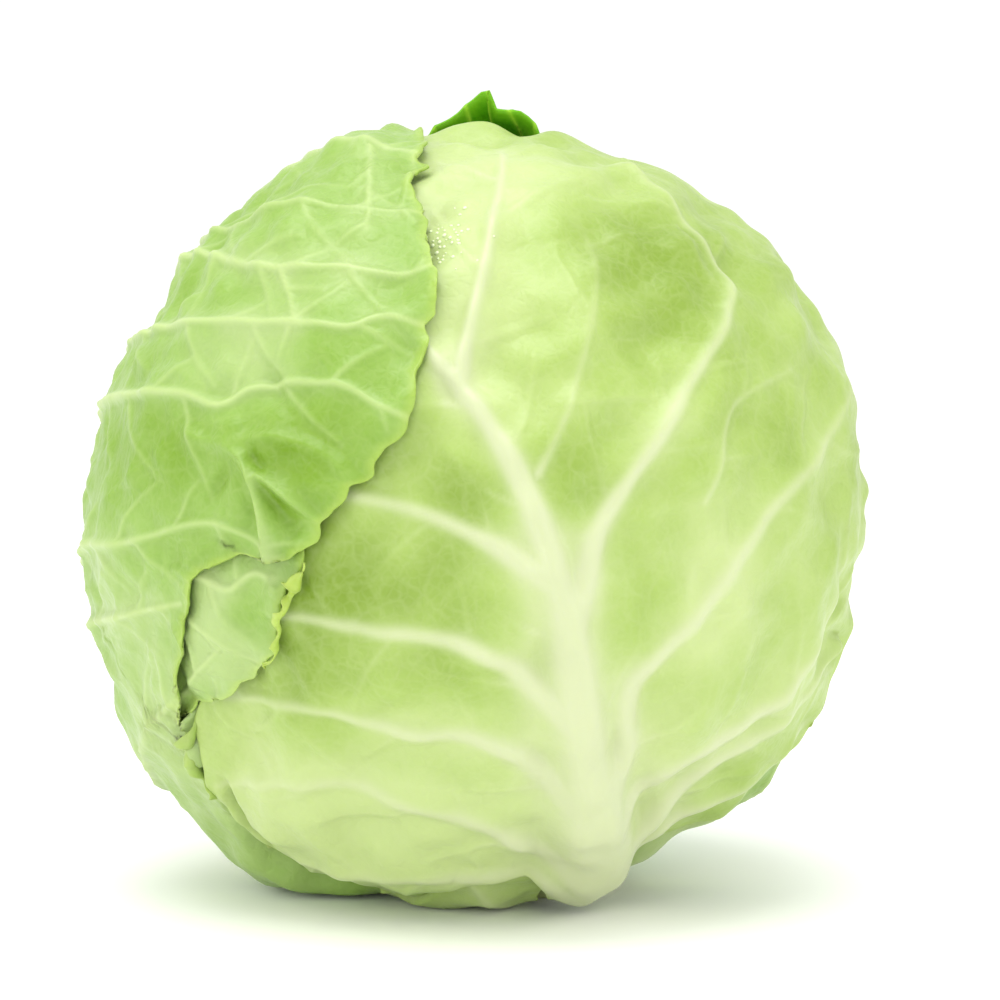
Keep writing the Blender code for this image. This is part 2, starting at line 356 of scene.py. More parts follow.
def buildLeaf(name, leaf, material):
    # outer face, a coarser inner face, and a rounded rim that joins them
    values = leaf.values
    cells, stride = values["cells"], values.get("stride", 3)
    outer, wall, fields = leaf.sheet()
    normals = gridNormals(outer)
    size = cells + 1
    inner = outer - normals * np.minimum(wall, 0.009).reshape(size, size)[..., None]
    inner = inner[::stride, ::stride]
    innerCells = cells // stride
    outerFaces, innerFaces = quads(cells), quads(innerCells)[:, ::-1] + size * size
    outerRim = rimOrder(cells, 1)
    innerRim = [size * size + index for index in rimOrder(innerCells, 1)]
    rimFaces = []
    for k, start in enumerate(innerRim):
        run = [outerRim[(k * stride + step) % len(outerRim)] for step in range(stride + 1)]
        middleStep = (stride + 1) // 2
        nextInner = innerRim[(k + 1) % len(innerRim)]
        rimFaces += [(run[step + 1], run[step], start) for step in range(middleStep)]
        rimFaces.append((run[middleStep], start, nextInner))
        rimFaces += [(run[step + 1], run[step], nextInner) for step in range(middleStep, stride)]
    vertices = toWorld(np.concatenate([outer.reshape(-1, 3), inner.reshape(-1, 3)]))
    vertices[:, 2] = np.maximum(vertices[:, 2], groundGap)
    piece = newPiece(name, vertices, outerFaces.tolist() + innerFaces.tolist() + rimFaces, material)
    for field, numbers in fields.items():
        attribute = piece.data.attributes.new(field, "FLOAT", "POINT")
        inside = numbers.reshape(size, size)[::stride, ::stride].ravel()
        attribute.data.foreach_set("value", np.concatenate([numbers, inside]).astype(np.float32))
    return piece


def linear(*values):
    # a colour picked as 0 to 255 screen values, as Blender wants it
    shares = np.array(values) / 255
    return (*np.where(shares > 0.04045, ((shares + 0.055) / 1.055) ** 2.4, shares / 12.92), 1)


class Wire:
    # a shader value that takes part in sums like a number
    def __init__(self, finish, socket):
        self.finish = finish
        self.socket = socket

    def math(self, operation, *operands):
        return self.finish.node("ShaderNodeMath", {"operation": operation}, dict(enumerate(operands)))

    def __add__(self, other):
        return self.math("ADD", self, other)

    def __sub__(self, other):
        return self.math("SUBTRACT", self, other)

    def __mul__(self, other):
        return self.math("MULTIPLY", self, other)

    def __rsub__(self, other):
        return self.math("SUBTRACT", other, self)

    def __pow__(self, other):
        return self.math("POWER", self, other)

    def between(self, low, high):
        # 0 up to `low`, 1 from `high`, smooth between
        ranges = {"From Min": low, "From Max": high, "Value": self}
        return self.finish.node("ShaderNodeMapRange", {"interpolation_type": "SMOOTHSTEP"}, ranges)

    __radd__ = __add__
    __rmul__ = __mul__


class Finish:
    # a material and the nodes it is made of
    def __init__(self, name):
        self.material = bpy.data.materials.new(name)
        self.material.use_nodes = True
        self.tree = self.material.node_tree
        self.shader = self.tree.nodes["Principled BSDF"]
        self.here = self.node("ShaderNodeTexCoord", output="Object")

    def node(self, kind, settings=None, inputs=None, output=0):
        made = self.tree.nodes.new(kind)
        for name, value in (settings or {}).items():
            if name != "stops":
                setattr(made, name, value)
                continue
            elements = made.color_ramp.elements
            while len(elements) < len(value):
                elements.new(1)
            for element, (place, colour) in zip(elements, value):
                element.position = place
                element.color = colour
        for key, value in (inputs or {}).items():
            self.feed(made.inputs[key], value)
        return Wire(self, made.outputs[output])

    def feed(self, socket, value):
        if isinstance(value, Wire):
            self.tree.links.new(value.socket, socket)
        else:
            socket.default_value = value

    def mix(self, share, first, second, blend="MIX"):
        settings = {"data_type": "RGBA", "blend_type": blend}
        return self.node("ShaderNodeMix", settings, {0: share, 6: first, 7: second}, 2)

    def noise(self, size, detail=3, roughness=0.5, warp=0, stretch=None):
        at = self.here
        if stretch:
            at = self.node("ShaderNodeMapping", None, {"Vector": at, "Scale": stretch})
        values = {"Vector": at, "Scale": 1 / size, "Detail": detail, "Roughness": roughness}
        values["Distortion"] = warp
        return self.node("ShaderNodeTexNoise", None, values)

    def cells(self, size, feature="DISTANCE_TO_EDGE", warp=0.9):
        # veinlet net: cell edges, bent by a noise so that none is straight
        bend = self.node("ShaderNodeTexNoise", None, {"Vector": self.here, "Scale": 0.6 / size}, "Color")
        moved = self.node("ShaderNodeVectorMath", {"operation": "MULTIPLY_ADD"},
                          {0: bend, 1: (warp * size,) * 3, 2: self.here})
        return self.node("ShaderNodeTexVoronoi", {"feature": feature}, {"Vector": moved, "Scale": 1 / size})

    def field(self, name):
        return self.node("ShaderNodeAttribute", {"attribute_name": name}, output="Fac")

    def bump(self, height, distance, strength=1.0, under=None):
        values = {"Height": height, "Distance": distance, "Strength": strength}
        if under:
            values["Normal"] = under
        return self.node("ShaderNodeBump", None, values)

    def done(self, **sockets):
        for name, value in sockets.items():
            self.feed(self.shader.inputs[name.replace("_", " ")], value)
        return self.material


def leafFinish(name, look):
    # pale flesh that turns greener between the ribs, with a net of veinlets and a waxy bloom
    finish = Finish(name)
    rib, halo, edge, green = (finish.field(field) for field in ("rib", "halo", "edge", "green"))
    broad = finish.noise(0.045, 2, 0.5, 0.6)
    mottle = finish.noise(0.012, 4, 0.6)
    grain = finish.noise(0.0011, 3, 0.6)
    net = finish.cells(0.0062)
    fineNet = finish.cells(0.0023)
    depth = (broad - 0.5) * look.get("broad", 1.1) + (mottle - 0.5) * 0.45 + green + look.get("depth", 0.55)
    depth = depth - halo * look.get("halo", 0.5)
    colour = finish.node("ShaderNodeValToRGB", {"stops": [
        (0.0, linear(*look["pale"])),
        (0.5, linear(*look["body"])),
        (1.0, linear(*look["deep"])),
    ]}, {0: depth})
    netLine = 1 - net.between(0.01, 0.14)
    fineLine = 1 - fineNet.between(0.02, 0.2)
    veined = (netLine * 0.08 + fineLine * 0.07) * look.get("net", 1)
    colour = finish.mix(veined * (1 - rib), colour, linear(*look["vein"]))
    # A strong green field, such as the painted shade at frontLeaf's midrib foot, cancels the rib's
    # paleness.
    bare = rib * 0.95 + halo.between(0.45, 1.35) * 0.35 - green.between(0.8, 1.8)
    colour = finish.mix(bare.between(0, 1), colour, linear(*look["rib"]))
    colour = finish.mix(edge ** 2 * look.get("edgeShow", 0.4), colour, linear(*look["edge"]))
    rough = look.get("rough", 0.42) + (mottle - 0.5) * 0.18 + (grain - 0.5) * 0.1 - veined * 0.15
    puff = net.between(0, 0.4) * 0.6 + fineNet.between(0, 0.35) * 0.25
    normal = finish.bump(puff * (1 - rib), 0.0004, look.get("relief", 0.4))
    lines = finish.noise(0.0016, 2, 0.5, 0, look.get("grainRun", (1, 1, 0.15)))
    normal = finish.bump(lines * 0.6 + grain * 0.4, 0.0002, 0.4, normal)
    return finish.done(
        Base_Color=colour,
        Roughness=rough,
        Normal=normal,
        Subsurface_Weight=look.get("soft", 0.2),
        Subsurface_Radius=(0.0018, 0.0022, 0.0007),
        Subsurface_Scale=1.0,
        Specular_IOR_Level=look.get("gloss", 0.4),
        Sheen_Weight=look.get("bloom", 0.03),
    )


def sideVeins(leaf, parents, plan):
    # veins that leave the given ones, left and right in turn, and end where they meet another
    rng = np.random.default_rng(plan["seed"])
    taken = np.concatenate([line for line, *_ in parents])
    stride = 0.0015
    made = []
    for line in [parent[0] for parent in parents]:
        reached = np.concatenate([[0], np.cumsum(np.linalg.norm(np.diff(line, axis=0), axis=1))]) * headSize
        turn = rng.choice([-1, 1])
        place = plan["spacing"] * rng.uniform(0.4, 1)
        while place < reached[-1]:
            index = min(max(int(np.searchsorted(reached, place)), 1), len(line) - 2)
            place += plan["spacing"] * rng.uniform(0.6, 1.4)
            turn = -turn
            point = line[index]
            ahead = normalized(line[index + 1] - line[index - 1])
            angle = math.radians(rng.uniform(*plan["angle"]))
            curve = rng.uniform(-0.035, 0.01)
            path = [point]
            for count in range(int(plan["length"] * rng.uniform(0.6, 1.2) / stride)):
                across = np.cross(point, ahead) * turn
                heading = ahead * math.cos(angle) + across * math.sin(angle)
                point = normalized(point + heading * stride / headSize)
                ahead = normalized(ahead - point * (ahead @ point))
                angle += curve + rng.uniform(-0.09, 0.09)
                path.append(point)
                if count > 2 and (taken @ point).max() > 1 - (plan["meet"] / headSize) ** 2 / 2:
                    break
            path = np.array(path)
            away, bearing = leaf.chartOf(path)
            path = path[away < leaf.reach(bearing) - plan["margin"] / headSize]
            if len(path) < 4:
                continue
            taken = np.concatenate([taken, path[2:]])
            made.append((path, plan["rise"], plan["width"], plan["tint"]))
    return made


def rolledEdge(name, leaf, look, material):
    # a curled leaf margin: a thin strip rolled round a line, wavy along it
    line = smoothPath(unit(look["path"]), 0.005)
    share = np.linspace(0, 1, len(line))
    ahead = normalized(np.gradient(line, axis=0))
    side = np.cross(line, ahead)
    wave = undulation(line * headSize, look["wave"], look["seed"])
    roll = profile(look["roll"], share) * (1 + 0.45 * wave)
    turns = np.radians(profile(look["turn"], share) * (1 + 0.25 * np.roll(wave, 5)))
    foot = leaf.radius(line) + profile(look["lift"], share)
    across = profile(look["across"], share) + look["sway"] * np.roll(wave, -7)
    rings = []
    steps = np.linspace(0, 1, look["arcs"] + 1)
    for step in np.concatenate([steps + 1j, steps[::-1] - 1j]):
        angle = step.real * turns
        reach = roll + np.sign(step.imag) * look["thick"] / 2 * (1 - 0.6 * step.real)
        out = across + reach * np.sin(angle)
        up = foot + roll - reach * np.cos(angle)
        rings.append(line * up[:, None] + side * out[:, None])
    points = np.stack(rings, 1)
    count = points.shape[1]
    faces = []
    for row in range(len(line) - 1):
        for k in range(count):
            a, b = row * count + k, row * count + (k + 1) % count
            faces.append((a, b, b + count, a + count))
    half = count // 2
    for row, flip in ((0, 1), (len(line) - 1, -1)):
        for k in range(half - 1):
            first = row * count
            face = (first + k, first + k + 1, first + count - 2 - k, first + count - 1 - k)
            faces.append(face[::-flip])
    return newPiece(name, toWorld(points.reshape(-1, 3)), faces, material)


def dewDrops(name, leaf, look, material):
    # flat drops scattered over a small patch of a leaf
    lons, lats = (np.linspace(*look[axis], 24) for axis in ("lon", "lat"))
    grid = unit(np.stack(np.meshgrid(lons, lats, indexing="ij"), -1)).reshape(-1, 3)
    places = toWorld(grid * leaf.radius(grid)[:, None])
    source = newPiece(name + "Patch", places, quads(23).tolist())
    weight = source.data.attributes.new("wet", "FLOAT", "POINT")
    angle = np.degrees(np.arccos(np.clip(grid @ unit(look["centre"]), -1, 1)))
    weight.data.foreach_set("value", np.exp(-(angle / look["spread"]) ** 2).astype(np.float32))
    tree = bpy.data.node_groups.new(name + "Scatter", "GeometryNodeTree")
    tree.interface.new_socket("Geometry", in_out="INPUT", socket_type="NodeSocketGeometry")
    inputs = {}
    for label in ("Density", "Smallest", "Largest"):
        inputs[label] = tree.interface.new_socket(label, in_out="INPUT", socket_type="NodeSocketFloat")
    tree.interface.new_socket("Geometry", in_out="OUTPUT", socket_type="NodeSocketGeometry")

    def add(kind, links=None, **settings):
        node = tree.nodes.new("GeometryNode" + kind if not kind.startswith("Function") else kind)
        for key, value in settings.items():
            setattr(node, key, value)
        for key, value in (links or {}).items():
            if isinstance(value, bpy.types.NodeSocket):
                tree.links.new(value, node.inputs[key])
            else:
                node.inputs[key].default_value = value
        return node

    give = tree.nodes.new("NodeGroupInput")
    wet = add("InputNamedAttribute", {"Name": "wet"}, data_type="FLOAT")
    drops = add("DistributePointsOnFaces", {
        "Mesh": give.outputs["Geometry"], "Distance Min": 0.0009, "Density Max": give.outputs["Density"],
        "Density Factor": wet.outputs[0], "Seed": look["seed"],
    }, distribute_method="POISSON")
    size = add("FunctionNodeRandomValue", {
        "Min": give.outputs["Smallest"], "Max": give.outputs["Largest"], "Seed": look["seed"] + 1,
    }, data_type="FLOAT")
    for socket in size.inputs:
        if socket.name in ("Min", "Max") and socket.type == "VALUE" and not socket.is_linked:
            tree.links.new(give.outputs["Smallest" if socket.name == "Min" else "Largest"], socket)
    ball = add("MeshIcoSphere", {"Radius": 1.0, "Subdivisions": 3})
    flat = add("Transform", {"Geometry": ball.outputs[0], "Scale": (1, 1, 0.62)})
    placed = add("InstanceOnPoints", {
        "Points": drops.outputs["Points"], "Instance": flat.outputs[0],
        "Rotation": drops.outputs["Rotation"],
        "Scale": next(out for out in size.outputs if out.type == "VALUE" and out.enabled),
    })
    smooth = add("SetShadeSmooth", {0: placed.outputs[0]})
    real = add("RealizeInstances", {0: smooth.outputs[0]})
    paint = add("SetMaterial", {0: real.outputs[0], "Material": material})
    take = tree.nodes.new("NodeGroupOutput")
    tree.links.new(paint.outputs[0], take.inputs[0])
    modifier = source.modifiers.new("Scatter", "NODES")
    modifier.node_group = tree
    for label, socket in inputs.items():
        modifier[socket.identifier] = look[label]
    return baked(name, source)


def baked(name, source):
    # the evaluated result as a plain mesh, and its source gone
    bpy.context.view_layer.update()
    shaped = source.evaluated_get(bpy.context.evaluated_depsgraph_get())
    mesh = bpy.data.meshes.new_from_object(shaped)
    mesh.name = name
    bpy.data.objects.remove(source)
    piece = bpy.data.objects.new(name, mesh)
    linkObject(piece)
    return piece


def settle(piece, slot, *nodes):
    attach(piece, "root")
    if nodes:
        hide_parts(*nodes)
    print(piece.name, len(piece.data.polygons), "faces")


# Every leaf's places are (lon, lat) in degrees. A vein or a fold is its path, how far it stands out
# along the way, how wide it is and, for a vein, how pale. A swelling or a patch is a place, an amount
# and a spread in degrees. "over" and "under" name the leaves that it lies on and those that lie on it.
leaves = {}

backMidrib = [(170, -78), (172, -40), (170, 0), (165, 40), (150, 66)]
tipVein = (0.0006, 0.0003), (0.0008, 0.0006), (1, 0.8)
backLeaf = {
    "seed": 11,
    "centre": (170, 5),
    "outline": [(170, -78), (136, -77), (126, -66), (122, -45), (112, -20), (110, 10), (108, 35),
                (102, 55), (97, 66), (97, 69), (98, 73), (100, 76.5), (104, 80), (125, 85), (-150, 84),
                (-155, 70), (-160, 50), (-158, 25), (-155, 0), (-158, -30), (-160, -60), (-166, -76)],
    "radius": 0.0834,
    "swellings": [(176, 0, 0.004, 20)],
    "puffs": [(0.0006, 0.014), (0.0009, 0.040)],
    "folds": [
        ([(125, 85.2), (104, 80.1), (100, 76.4), (98, 72.8), (97, 68.8)], (0.0062, 0.0086, 0.0092, 0.0095,
          0.0099, 0.0106, 0.0118, 0.0133, 0.0136, 0.0098, 0.0102, 0.0107, 0.0110, 0.0104, 0.0093, 0.0064),
         0.005, 1),
    ],
    "patches": [(98, 76, 0.75, 16)],
    "blade": 0.0013,
    "scallops": (0.0006, 0.012),
    "blur": 2,
    "cells": 240,
    "stride": 2,
    "crowd": ([(-0.3, 0.16, 4)], [(1.0, 0.1, 6)]),
    "veins": [
        (backMidrib, (0.006, 0.001), (0.006, 0.0014), (1, 0.9)),
        ([(114, 68), (106, 71), (98.5, 74)], *tipVein),
        ([(120, 72), (110, 75), (100.5, 77)], *tipVein),
        ([(130, 76), (116, 78.5), (105, 80.3)], *tipVein),
        ([(150, 79), (136, 82.5), (122, 84.6)], *tipVein),
        ([(108, 64), (102, 67.5), (97.3, 70)], *tipVein),
    ],
    "laterals": {"midrib": backMidrib, "sides": (-1, 1), "span": (0.12, 0.85), "count": 7, "length": 0.55,
                 "climb": 0.75, "rise": (0.0017, 0.0006), "width": (0.0017, 0.0009), "tint": (0.9, 0.6)},
}
leaves["backLeaf"] = Leaf(backLeaf)

rightMidrib = [(115, -78), (112, -45), (112, -10), (115, 20), (118, 36)]
rightLeaf = {
    "seed": 12,
    "centre": (115, -15),
    "outline": [(115, -78), (78, -76), (66, -64), (66, -52), (70, -36), (72, -16), (74, 2), (78, 22),
                (90, 38), (112, 46), (135, 40), (148, 22), (152, 0), (150, -30), (150, -56), (146, -74)],
    "radius": 0.0858,
    "swellings": [(103, -53, 0.0060, 34), (94, -34, 0.0026, 20)],
    "puffs": [(0.0006, 0.014), (0.0010, 0.036)],
    "frill": (0.0012, 0.020, 0.7),
    "over": ["backLeaf"],
    "blade": 0.0014,
    "cells": 210,
    "veins": [
        (rightMidrib, (0.0055, 0.001), (0.006, 0.0014), (1, 0.9)),
    ],
    "laterals": {"midrib": rightMidrib, "sides": (-1, 1), "span": (0.1, 0.85), "count": 6, "length": 0.42,
                 "climb": 0.7, "rise": (0.0016, 0.0006), "width": (0.0017, 0.0009), "tint": (0.9, 0.6)},
}
leaves["rightLeaf"] = Leaf(rightLeaf)

underMidrib = [(-84, -78), (-86, -40), (-84, 0), (-82, 30)]
underLeaf = {
    "seed": 13,
    "centre": (-82, 0),
    "outline": [(-82, -77), (-77, -34), (-68, -26), (-61, -19.5), (-56, -17.6), (-53.8, -16.8),
                (-48.2, -16.3), (-43.2, -15.5), (-41.6, -13.8), (-39.6, -14), (-38, -12.2), (-32.4, -9.6),
                (-32, -7), (-28.9, -3.7), (-27.4, -0.3), (-26.4, 0.6), (-25, 1.6), (-23.9, 2.4),
                (-23.5, 3.2), (-24, 8), (-28, 20), (-45, 32), (-80, 38), (-115, 34), (-140, 20),
                (-146, 0), (-140, -30), (-115, -60)],
    "radius": 0.0873,
    "swellings": [(-92, -38, 0.0052, 42), (-90, 45, -0.0025, 45), (-80, -79, -0.0055, 34),
                  (-72, -34, -0.0085, 18)],
    "patches": [(-42, -6, -0.8, 13), (-36, -3, 0.5, 5)],
    "puffs": [(0.0004, 0.012), (0.0006, 0.030)],
    "scallops": (0.0003, 0.005),
    "blur": 2,
    "frill": (0.0006, 0.012, 0.85),
    "over": ["backLeaf", "frontLeaf"],
    "hug": 0.4,
    "blade": 0.0011,
    "cells": 210,
    "crowd": ([(0.8, 0.4, 2)], [(-0.2, 0.4, 1)]),
    "veins": [
        (underMidrib, (0.001, 0.0005), (0.004, 0.0014), (1, 0.8)),
        ([(-47, 4), (-42.7, 2.5), (-39.5, 1), (-37, 0.3), (-34.5, 1.6), (-32.4, 2.2), (-29, 1)],
         (0.0012, 0.0006), (0.0013, 0.0010), (0.9, 0.6)),
        ([(-48, -3), (-43, -6), (-39, -10), (-36, -12)], (0.0007, 0.0004), (0.0011, 0.0009), (0.7, 0.4)),
    ],
    "laterals": {"midrib": underMidrib, "sides": (-1, 1), "span": (0.1, 0.8), "count": 6, "length": 0.75,
                 "climb": 0.35, "rise": (0.0010, 0.0005), "width": (0.0014, 0.0008), "tint": (0.8, 0.5)},
}

frontLeaf = {
    "seed": 14,
    "centre": (12, 0),
    "outline": [(12, -78), (34, -76), (44, -66), (62, -58), (76, -49), (78, -43), (80, -36), (82, -29),
                (83, -24), (84, -16), (96, -8), (106, 12), (108, 34), (100, 52), (93, 62), (91, 68),
                (91, 74), (92, 79), (94, 84), (40, 87), (10, 83), (-8, 75), (-20, 60), (-34, 40),
                (-44, 20), (-50, 0), (-54, -14), (-55.8, -17.9), (-57.5, -21), (-58, -24), (-60, -27.5),
                (-61, -31), (-63.5, -35), (-66, -39), (-68, -43.5), (-69, -47.5), (-67.5, -52),
                (-64, -57), (-58, -61.5), (-50, -63.5), (-40, -62.5), (-30, -60.5), (-23, -58.5),
                (-16, -58), (-10, -59), (-4, -60.5), (-1, -63), (0, -69), (2, -74), (6, -78)],
    "radius": 0.0853,
    "lean": (60, 0, 0.0046),
    "swellings": [(-30, -50, 0.003, 40), (-68, -38, 0.0085, 36), (86, -47, 0.0056, 32),
                  (86, -34, 0.0024, 16), (92, 62, 0.0024, 12), (92, -20, 0.0030, 26),
                  (88, 26, 0.0035, 38), (88, 78, 0.0044, 9), (75, 84, 0.0008, 14),
                  (-32, -69, 0.0052, 30)],
    "folds": [
        ([(-56, -28), (-57, -31), (-60, -35), (-63, -40), (-66, -45)],
         (0, -0.0030, -0.0036, -0.0030, -0.0010), 0.0014),
        ([(-58, -29), (-60, -33), (-63, -37), (-65.5, -42)], (0, 0.0008, 0.0010, 0), 0.0020),
        ([(5, -24), (3, -40), (1, -52), (-2, -60)], (0, -0.0012, -0.0018, -0.0008), 0.0036),
        ([(20, -24), (24, -42), (30, -56), (36, -66)], (0, -0.0010, -0.0016, -0.0008), 0.0036),
    ],
    "puffs": [(0.0005, 0.013), (0.0009, 0.034)],
    "frill": (0.0006, 0.018, 0.9),
    "scallops": (0.0006, 0.009),
    "over": ["rightLeaf", "backLeaf"],
    "blade": 0.0015,
    "cells": 270,
    "veins": [
        ([(34, -78), (25, -71), (17, -60), (13, -48), (12, -36), (11, -24), (11, -10), (10, 0), (8, 10),
          (5, 19), (2, 25)], (0.0026, 0.0054, 0.0068, 0.0052, 0.0034, 0.0024, 0.0018),
         (0.0080, 0.0078, 0.0068, 0.0048, 0.0034, 0.0026, 0.0019), (1, 1, 0.95, 0.9)),
        ([(2, 25), (-2, 31), (-8, 38), (-14, 46)], (0.0016, 0.0005), (0.0017, 0.0011), (0.8, 0.4)),
        ([(3, 24), (6, 31), (12, 41), (18, 50), (25, 57), (33, 63), (42, 68)], (0.0018, 0.0006),
         (0.0019, 0.0012), (0.9, 0.5)),
        ([(26, 59), (20, 67), (14, 72)], (0.0007, 0.0004), (0.0011, 0.0009), (0.5, 0.3)),
        ([(11, -14), (14, -8), (18, 0), (28, 9), (37, 16), (47, 22), (55, 28), (58, 36), (62, 47),
          (69, 58)], (0.0026, 0.0016, 0.0012, 0.0010, 0.0006), (0.0032, 0.0022, 0.0017, 0.0014, 0.0012),
         (0.9, 0.75, 0.6, 0.4)),
        ([(11, 9), (16, 15), (19, 19), (29, 33), (35, 43)], (0.0008, 0.0004), (0.0013, 0.0010),
         (0.5, 0.25)),
        ([(16, -43), (19, -36), (21, -24), (31, -16), (39, -9), (48, -3), (61, 2), (75, 8)],
         (0.0030, 0.0018, 0.0013, 0.0010, 0.0006), (0.0036, 0.0026, 0.0020, 0.0014),
         (0.9, 0.75, 0.6, 0.4)),
        ([(21, -55), (22, -47), (35, -40), (53, -34), (64, -23), (70, -16)],
         (0.0026, 0.0016, 0.0010, 0.0006), (0.0036, 0.0026, 0.0016), (0.9, 0.7, 0.4)),
        ([(24, -62), (39, -47), (52, -41), (76, -29)], (0.0024, 0.0014, 0.0007), (0.0034, 0.0024, 0.0015),
         (0.8, 0.6, 0.4)),
        ([(27, -66), (45, -56), (62, -50), (76, -42)], (0.0022, 0.0014, 0.0007), (0.0034, 0.0024, 0.0015),
         (0.8, 0.6, 0.4)),
        ([(34, 0), (39, 6), (45, 12), (60, 14)], (0.0008, 0.0004), (0.0012, 0.0009), (0.5, 0.3)),
        ([(10, -6), (6, -2), (0, 3), (-6, 7), (-13, 10), (-24, 14), (-38, 18)],
         (0.0020, 0.0014, 0.0009, 0.0006), (0.0026, 0.0022, 0.0018, 0.0013), (0.85, 0.7, 0.55, 0.35)),
        ([(10, -27), (6, -22), (1, -16), (-7, -11), (-19, -8), (-27, -5), (-45, 0)],
         (0.0022, 0.0016, 0.0010, 0.0007), (0.0030, 0.0024, 0.0019, 0.0014), (0.85, 0.75, 0.6, 0.4)),
        ([(11, -44), (6, -38), (1, -31), (-6, -28), (-17, -25), (-31, -19), (-48, -17)],
         (0.0022, 0.0016, 0.0010, 0.0007), (0.0032, 0.0026, 0.0020, 0.0014), (0.85, 0.75, 0.6, 0.4)),
        ([(16, -66), (4, -56), (-10, -44), (-25, -36), (-39, -31), (-58, -30)],
         (0.0022, 0.0015, 0.0010, 0.0007), (0.0036, 0.0028, 0.0022, 0.0015), (0.8, 0.7, 0.55, 0.4)),
        ([(17, -71), (0, -63), (-18, -56), (-40, -50), (-62, -46)], (0.0022, 0.0015, 0.0010, 0.0007),
         (0.0036, 0.0028, 0.0022, 0.0015), (0.8, 0.7, 0.5, 0.35)),
    ],
    # The patch at (22, -78) is painted shade: it turns the midrib's foot near the floor deep olive.
    "patches": [(14, 7, 0.45, 8), (8, 62, -0.4, 16), (22, 22, 0.1, 8), (25, 62, -0.3, 14),
                (0, 6, 0.45, 8), (-8, -8, 0.35, 9), (42, 37, 0.25, 13), (37, 4, 0.1, 8),
                (33, -13, -0.35, 11), (-4, 4, 0.2, 12), (5, 40, -0.35, 12), (40, 52, -0.2, 10),
                (22, -78, 2.4, 8), (-23, -4, 0.45, 9), (-32, -22, 0.5, 10), (-38, -29, -0.6, 16),
                (-18, -49, -0.45, 16), (33, -36, -0.3, 14), (-50, -40, -0.3, 14), (56, 20, 0.15, 12)],
}
leaves["frontLeaf"] = Leaf(frontLeaf)

baseLeaf = {
    "seed": 16,
    "centre": (-32, -66),
    "outline": [(-58, -60), (-50, -56), (-38, -53), (-25, -52), (-12, -53), (-1, -56), (0, -63),
                (-3, -69), (-16, -76), (-60, -80), (-78, -72), (-66, -65)],
    "radius": 0.0885,
    "swellings": [(-27, -70, 0.0044, 15), (-51, -66, 0.0036, 10)],
    "puffs": [(0.0003, 0.010)],
    "scallops": (0.0003, 0.006),
    "under": ["frontLeaf"],
    # This patch is painted light: it pales the lump low down, which lies in shade.
    "patches": [(-30, -66, -0.3, 14)],
    "blade": 0.0012,
    "cells": 90,
    "veins": [
        ([(-20, -80), (-21, -64), (-21, -54)], (0.0010, 0.0006), (0.002, 0.001), (0.6, 0.4)),
    ],
}
leaves["baseLeaf"] = Leaf(baseLeaf)
leaves["underLeaf"] = Leaf(underLeaf)  # made here, because it lies on frontLeaf

